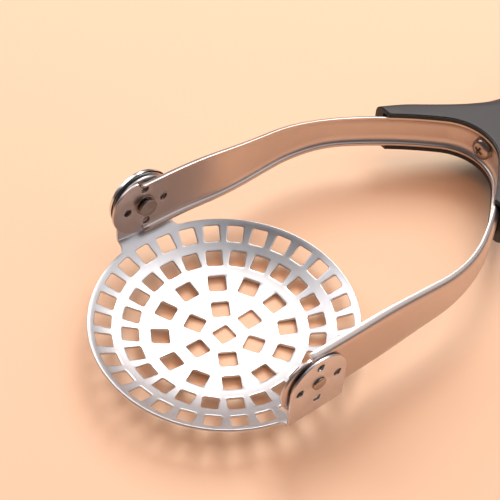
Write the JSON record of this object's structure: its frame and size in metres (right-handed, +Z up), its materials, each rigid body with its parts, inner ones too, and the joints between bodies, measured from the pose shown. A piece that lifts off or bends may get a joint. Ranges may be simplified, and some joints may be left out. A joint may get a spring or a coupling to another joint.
{
  "type": "folding potato masher",
  "caption": "Folding potato masher: dished plate with square holes, turning between the arms of a steel fork, locked by a sprung side button, with a soft-grip handle.",
  "frame": {"origin": "bottom centre of the whole object's box as it lies folded flat on its mashing plate", "axes": "+Y from the plate to the end of the handle, +X along the pivot to the riveted side, +Z up out of the dish"},
  "size_m": [0.1072, 0.3048, 0.0393],
  "materials": {
    "plate_steel": "satin stainless",
    "fork_steel": "polished stainless",
    "fastener_steel": "bright plated steel",
    "button_steel": "polished stainless",
    "spring_steel": "dark spring wire",
    "nylon": "natural nylon",
    "core_plastic": "black glass-filled nylon",
    "grip_rubber": "dark grey soft-touch overmould",
    "cap_plastic": "black moulded plastic",
    "insert_brass": "knurled brass"
  },
  "bodies": {
    "frame": {"fork": "fork_steel", "pivot_rivet": "fastener_steel", "rivet_washer": "fastener_steel", "rivet_side_washer": "nylon", "pivot_bush": "fastener_steel", "lock_side_washer": "nylon", "handle_core": "core_plastic", "handle_grip": "grip_rubber", "end_cap": "cap_plastic", "screw_insert": "insert_brass", "yoke_screw": "fastener_steel"},
    "masher_head": {"mashing_plate": "plate_steel"},
    "lock_button": {"button_dome": "button_steel", "pin_disc": "button_steel", "lock_pins": "fastener_steel", "button_shaft": "fastener_steel", "shaft_cap": "fastener_steel", "lock_spring": "spring_steel"}
  },
  "joints": [
    {"name": "head_turn", "type": "hinge", "parent": "frame", "child": "masher_head", "pos_m": [0.00235, -0.10385, 0.0265], "axis": [-1, 0, 0], "range_deg": [0, 180]},
    {"name": "button_pull", "type": "slide", "parent": "masher_head", "child": "lock_button", "axis": [-1, 0, 0], "range_m": [0, 0.001], "stiffness_N_per_m": 1500, "springref_m": -0.001, "deforming": ["lock_spring"]}
  ]
}
